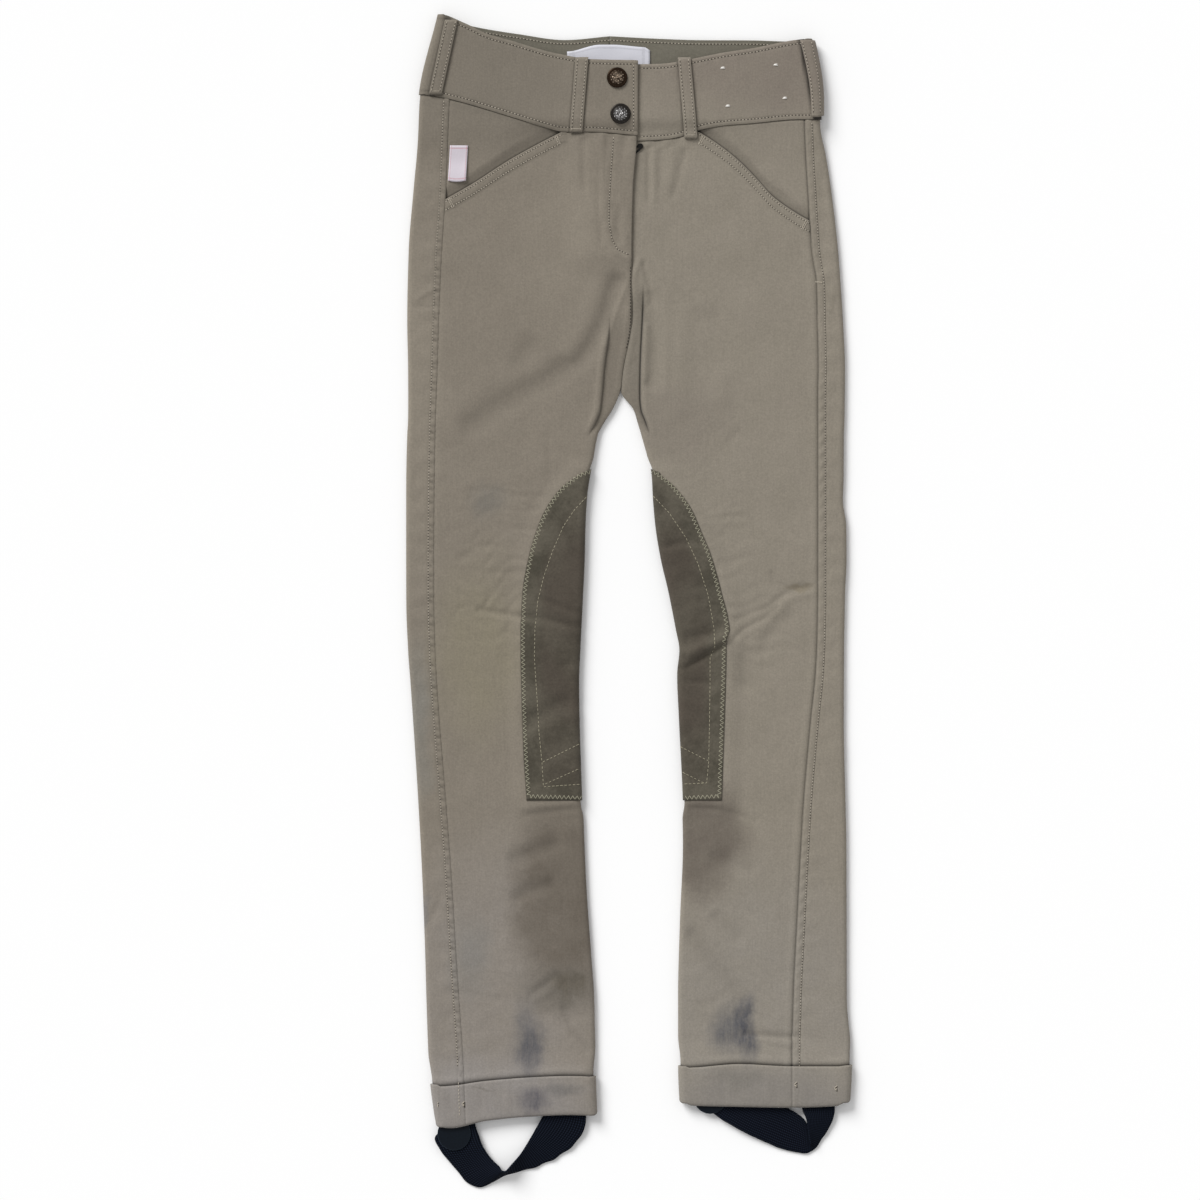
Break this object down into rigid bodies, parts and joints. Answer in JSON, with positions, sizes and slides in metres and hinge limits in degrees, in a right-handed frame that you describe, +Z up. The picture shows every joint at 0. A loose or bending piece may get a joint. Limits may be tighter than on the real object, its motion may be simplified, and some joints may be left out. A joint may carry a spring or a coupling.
{
  "type": "riding breeches",
  "caption": "Child's riding breeches laid flat on their back, with snap waistband, fly zip, slant pockets, suede knee patches, turned-up hems and elastic stirrup straps.",
  "frame": {"origin": "on the surface that the garment lies on, at the middle of its length and width", "axes": "+Z up from that surface, out of the front of the garment; +Y from the hems to the waist; +X to the wearer's left"},
  "size_m": [0.3658, 0.9624, 0.0147],
  "materials": {
    "front_right": "bonded cotton twill, matt",
    "front_left": "bonded cotton twill, matt",
    "back_right": "bonded cotton twill, matt",
    "back_left": "bonded cotton twill, matt",
    "pocket_facing_right": "bonded cotton twill, matt",
    "pocket_facing_left": "bonded cotton twill, matt",
    "waistband_right": "bonded cotton twill, matt",
    "waistband_left": "bonded cotton twill, matt",
    "belt_loop_front_right": "bonded cotton twill, matt",
    "belt_loop_front_left": "bonded cotton twill, matt",
    "belt_loop_side_right": "bonded cotton twill, matt",
    "belt_loop_side_left": "bonded cotton twill, matt",
    "belt_loop_back_right": "bonded cotton twill, matt",
    "belt_loop_back_left": "bonded cotton twill, matt",
    "stud_cap_upper": "dark antiqued brass",
    "stud_cap_lower": "dark antiqued brass",
    "zip_tape": "woven zip tape",
    "zip_slider": "dark antiqued brass",
    "pull_tab": "dark enamel",
    "knee_patch_right": "suede, matt",
    "knee_patch_left": "suede, matt",
    "cuff_front_right": "bonded cotton twill, matt",
    "cuff_front_left": "bonded cotton twill, matt",
    "cuff_back_right": "bonded cotton twill, matt",
    "cuff_back_left": "bonded cotton twill, matt",
    "stirrup_strap_right": "woven elastic, matt",
    "stirrup_strap_left": "woven elastic, matt",
    "strap_disc_right": "matt rubber",
    "strap_disc_left": "matt rubber",
    "waist_label": "woven satin",
    "side_label": "woven satin"
  },
  "bodies": {
    "trousers": {"front_right": "front_right", "front_left": "front_left", "back_right": "back_right", "back_left": "back_left", "pocket_facing_right": "pocket_facing_right", "pocket_facing_left": "pocket_facing_left", "waistband_right": "waistband_right", "waistband_left": "waistband_left", "belt_loop_front_right": "belt_loop_front_right", "belt_loop_front_left": "belt_loop_front_left", "belt_loop_side_right": "belt_loop_side_right", "belt_loop_side_left": "belt_loop_side_left", "belt_loop_back_right": "belt_loop_back_right", "belt_loop_back_left": "belt_loop_back_left", "stud_cap_upper": "stud_cap_upper", "stud_cap_lower": "stud_cap_lower", "zip_tape": "zip_tape", "zip_slider": "zip_slider", "knee_patch_right": "knee_patch_right", "knee_patch_left": "knee_patch_left", "cuff_front_right": "cuff_front_right", "cuff_front_left": "cuff_front_left", "cuff_back_right": "cuff_back_right", "cuff_back_left": "cuff_back_left", "stirrup_strap_right": "stirrup_strap_right", "stirrup_strap_left": "stirrup_strap_left", "strap_disc_right": "strap_disc_right", "strap_disc_left": "strap_disc_left", "waist_label": "waist_label", "side_label": "side_label"},
    "pull": {"pull_tab": "pull_tab"}
  },
  "joints": [
    {"name": "zip_pull_swivel", "type": "hinge", "parent": "trousers", "child": "pull", "pos_m": [-0.0057, 0.3596, 0.0066], "axis": [0, 0, 1], "range_deg": [-40, 0]}
  ]
}
